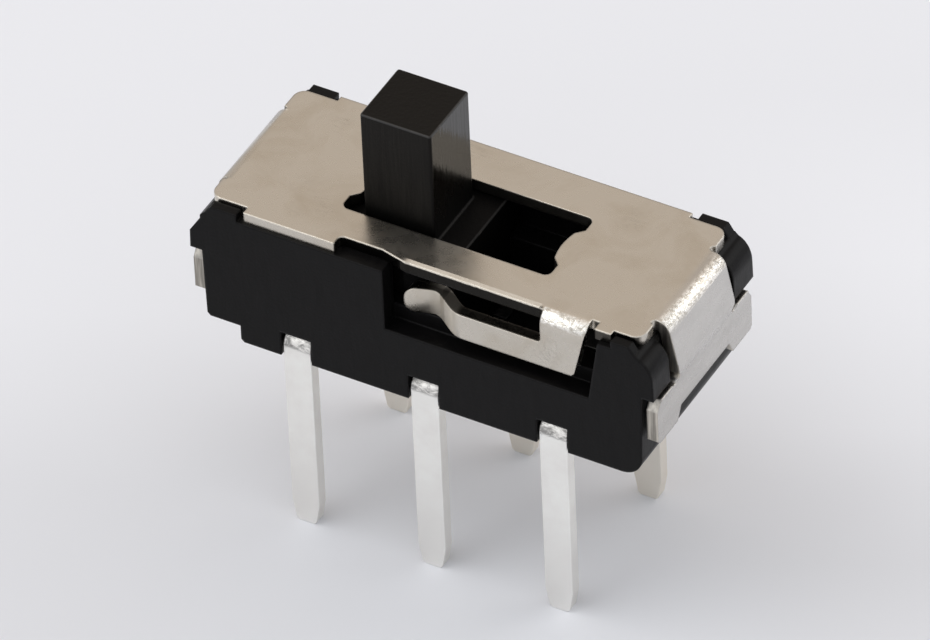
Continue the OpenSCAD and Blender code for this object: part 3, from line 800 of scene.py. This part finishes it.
def soft_room(settings):
    """A world that is brighter above, and dimmer and warmer on one side."""
    world = bpy.data.worlds.new("soft_room")
    world.use_nodes = True
    sky = world.node_tree
    back = sky.nodes["Background"]
    place = add_node(sky, "ShaderNodeTexCoord").outputs["Generated"]
    height = ramp(sky, axes(sky, place)[2], 0.0, 1.0, 0.80, 1.22)
    wall = ramp(sky, along(sky, place, WALL_DIRECTION), 0.45, 0.9)
    tint = blend_colour(sky, wall, tuple(settings.sky_colour), tuple(settings.wall_colour))
    sky.links.new(height, back.inputs["Strength"])
    sky.links.new(tint, back.inputs["Color"])
    return world


def floor_card(base):
    """Pale card, with painted shade that makes it a little darker at the front, and painted light
    that makes it lighter at the right behind the switch.
    """
    material, tree, shader = new_material("floor_card")
    shader.inputs["Roughness"].default_value = 0.9
    shader.inputs["Specular IOR Level"].default_value = 0.1
    place = millimetres(tree)
    card = cloud(tree, place, 0.05, detail=2.0)
    depth = along(tree, place, FLOOR_BACK)
    right = product(
        tree,
        ramp(tree, along(tree, place, FLOOR_RIGHT), 0.0, 7.0, 0.0, 0.6),
        ramp(tree, depth, -1.5, 2.0),
        ramp(tree, depth, 11.0, 6.5),
    )
    # Painted shade: the card is a little darker towards the front
    near = blend_colour(tree, card, scaled(base, 0.92), scaled(base, 0.935))
    far = blend_colour(tree, card, scaled(base, 0.985), base)
    tint = blend_colour(tree, ramp(tree, depth, 0.5, 5.0), near, far)
    # Painted light: a lighter patch at the right behind the switch, over the switch's shadow
    tint = blend_colour(tree, right, tint, scaled(base, 1.12))
    tree.links.new(tint, shader.inputs["Base Color"])
    return material


def add_floor(scene, card):
    """A square floor under the lowest point of the frame."""
    mesh = bpy.data.meshes.new("floor")
    corners = [(-1, -1), (1, -1), (1, 1), (-1, 1)]
    mesh.from_pydata([(x * FLOOR_HALF, y * FLOOR_HALF, 0) for x, y in corners], [], [range(4)])
    mesh.materials.append(card)
    floor = bpy.data.objects.new("floor", mesh)
    floor.location.z = cad_box[0][2]
    scene.collection.objects.link(floor)


def area_lamp(scene, name, direction, distance, size, watts, tint):
    """A round lamp that shines on the switch from a direction."""
    data = bpy.data.lights.new(name, "AREA")
    data.shape = "DISK"
    data.size = size
    data.energy = watts
    data.color = tint
    lamp = bpy.data.objects.new(name, data)
    towards = Vector(direction).normalized()
    lamp.location = towards * distance
    lamp.rotation_euler = towards.to_track_quat("Z", "Y").to_euler()
    scene.collection.objects.link(lamp)


def add_camera(scene, lens):
    """The camera, a long lens that looks down on the switch from the front right."""
    data = bpy.data.cameras.new("camera")
    data.lens = lens
    data.sensor_width = SENSOR_WIDTH
    camera = bpy.data.objects.new("camera", data)
    turn = Matrix((CAMERA_RIGHT, CAMERA_UP, CAMERA_BACK)).transposed().to_4x4()
    place = CAMERA_AIM * MM + CAMERA_BACK * CAMERA_DISTANCE * MM
    camera.matrix_world = Matrix.Translation(place) @ turn
    scene.collection.objects.link(camera)
    scene.camera = camera


# ---- Operators ----


class SWITCH_OT_housing(Operator):
    """Dresses the moulded housing"""

    bl_idname = "switch.housing"
    bl_label = "Housing"

    def execute(self, context):
        settings = context.scene.switch_plastic
        base = tuple(settings.housing_colour)
        edge_r = settings.housing_edge
        face = plastic_finish("housing_plastic_face", base, settings.gloss, settings.grain, edge_r)
        edge = worn_plastic_highlight_finish("housing_plastic_edge", base, settings.gloss, edge_r)
        housing = dress("housing", face, edge)
        round_edges(housing, 0.5 * edge_r, segments=3, edge_slot=1)
        return {"FINISHED"}


class SWITCH_OT_cover(Operator):
    """Dresses the folded sheet cover and its spring arm"""

    bl_idname = "switch.cover"
    bl_label = "Cover"

    def execute(self, context):
        settings = context.scene.switch_cover
        base = tuple(settings.nickel_colour)
        stain = tuple(settings.stain_colour)
        face = nickel_finish(
            "cover_nickel_face", base, stain, settings.gloss, settings.grain, settings.edge
        )
        edge = burnished_painted_light_finish("cover_nickel_edge", base, settings.gloss, settings.edge)
        cover = dress("cover", face, edge)
        round_edges(cover, 0.3 * settings.edge, segments=2, angle=40.0, edge_slot=1)
        return {"FINISHED"}


class SWITCH_OT_slider(Operator):
    """Dresses the slider and its knob"""

    bl_idname = "switch.slider"
    bl_label = "Slider"

    def execute(self, context):
        settings = context.scene.switch_plastic
        base = tuple(settings.slider_colour)
        edge_r = settings.slider_edge
        face = plastic_finish(
            "slider_plastic_face",
            base,
            settings.gloss,
            settings.grain,
            edge_r,
            streak=KNOB_FACE_STREAK * MM,
            lit_and_rubbed_top=KNOB_FACE_LIT_RUBBED_Z,
        )
        edge = worn_plastic_highlight_finish(
            "slider_plastic_edge", base, settings.gloss, edge_r, matt_below=MATT_BELOW_Z
        )
        side = plastic_finish(
            "slider_plastic_side",
            base,
            settings.side_gloss,
            0.4 * settings.grain,
            edge_r,
            streak=KNOB_SIDE_STREAK * MM,
            gleam=0.40,
            lit_and_rubbed_top=KNOB_SIDE_LIT_RUBBED_Z,
        )
        slider = dress("slider", face, edge, side)
        paint = face_group("knob_side_finish", 2, (1.0, 0.0, 0.0), KNOB_SIDE_Z)
        round_edges(slider, edge_r, segments=3, edge_slot=1, paint=paint)
        return {"FINISHED"}


class SWITCH_OT_contacts(Operator):
    """Dresses the two sliding contacts"""

    bl_idname = "switch.contacts"
    bl_label = "Sliding contacts"

    def execute(self, context):
        settings = context.scene.switch_terminal
        bronze = bronze_finish("contact_bronze_face", tuple(settings.bronze_colour))
        for row in ROWS:
            contact = dress("contact_" + row, bronze)
            round_edges(contact, CONTACT_EDGE * MM, segments=2, angle=50.0)
        return {"FINISHED"}


class SWITCH_OT_terminals(Operator):
    """Dresses the six terminals"""

    bl_idname = "switch.terminals"
    bl_label = "Terminals"

    def execute(self, context):
        settings = context.scene.switch_terminal
        base = tuple(settings.tin_colour)
        tin = tin_finish("terminal_tin_face", base, settings.gloss, settings.edge)
        for row in ROWS:
            for column in COLUMNS:
                terminal = dress("terminal_%s_%s" % (row, column), tin)
                round_edges(terminal, settings.edge, segments=3)
        return {"FINISHED"}


class SWITCH_OT_stage(Operator):
    """Sets up the floor, the soft light and the camera"""

    bl_idname = "switch.stage"
    bl_label = "Stage"

    def execute(self, context):
        scene = context.scene
        settings = scene.switch_stage
        scene.view_settings.view_transform = "Standard"
        scene.world = soft_room(settings)
        add_floor(scene, floor_card(tuple(settings.floor_colour)))
        area_lamp(
            scene,
            "key_lamp",
            KEY_DIRECTION,
            distance=0.45,
            size=0.50,
            watts=settings.key_power,
            tint=(1, 0.99, 0.98),
        )
        area_lamp(
            scene,
            "side_lamp",
            SIDE_DIRECTION,
            distance=0.30,
            size=0.20,
            watts=settings.side_power,
            tint=(1, 0.98, 0.95),
        )
        add_camera(scene, settings.lens)
        return {"FINISHED"}


class SWITCH_PT_panel(Panel):
    """Lists the switch's settings and pieces"""

    bl_idname = "SWITCH_PT_panel"
    bl_label = "Slide Switch"
    bl_space_type = "VIEW_3D"
    bl_region_type = "UI"
    bl_category = "Slide Switch"

    def draw(self, context):
        layout = self.layout
        for group in SETTINGS:
            settings = getattr(context.scene, group)
            box = layout.box()
            for key in settings.__annotations__:
                box.prop(settings, key)
        for operator in OPERATORS:
            layout.operator(operator.bl_idname)


SETTINGS = {
    "switch_plastic": PlasticSettings,
    "switch_cover": CoverSettings,
    "switch_terminal": TerminalSettings,
    "switch_stage": StageSettings,
}
OPERATORS = (
    SWITCH_OT_housing,
    SWITCH_OT_cover,
    SWITCH_OT_slider,
    SWITCH_OT_contacts,
    SWITCH_OT_terminals,
    SWITCH_OT_stage,
)


def register():
    """Registers the settings, the operators and the panel."""
    for name, group in SETTINGS.items():
        bpy.utils.register_class(group)
        setattr(bpy.types.Scene, name, PointerProperty(type=group))
    for operator in OPERATORS:
        bpy.utils.register_class(operator)
    bpy.utils.register_class(SWITCH_PT_panel)


def unregister():
    """Removes what register added."""
    bpy.utils.unregister_class(SWITCH_PT_panel)
    for operator in reversed(OPERATORS):
        bpy.utils.unregister_class(operator)
    for name, group in reversed(list(SETTINGS.items())):
        delattr(bpy.types.Scene, name)
        bpy.utils.unregister_class(group)


def main():
    """Builds the switch."""
    register()
    for operator in OPERATORS:
        group, name = operator.bl_idname.split(".")
        getattr(getattr(bpy.ops, group), name)()


if __name__ == "__main__":
    main()
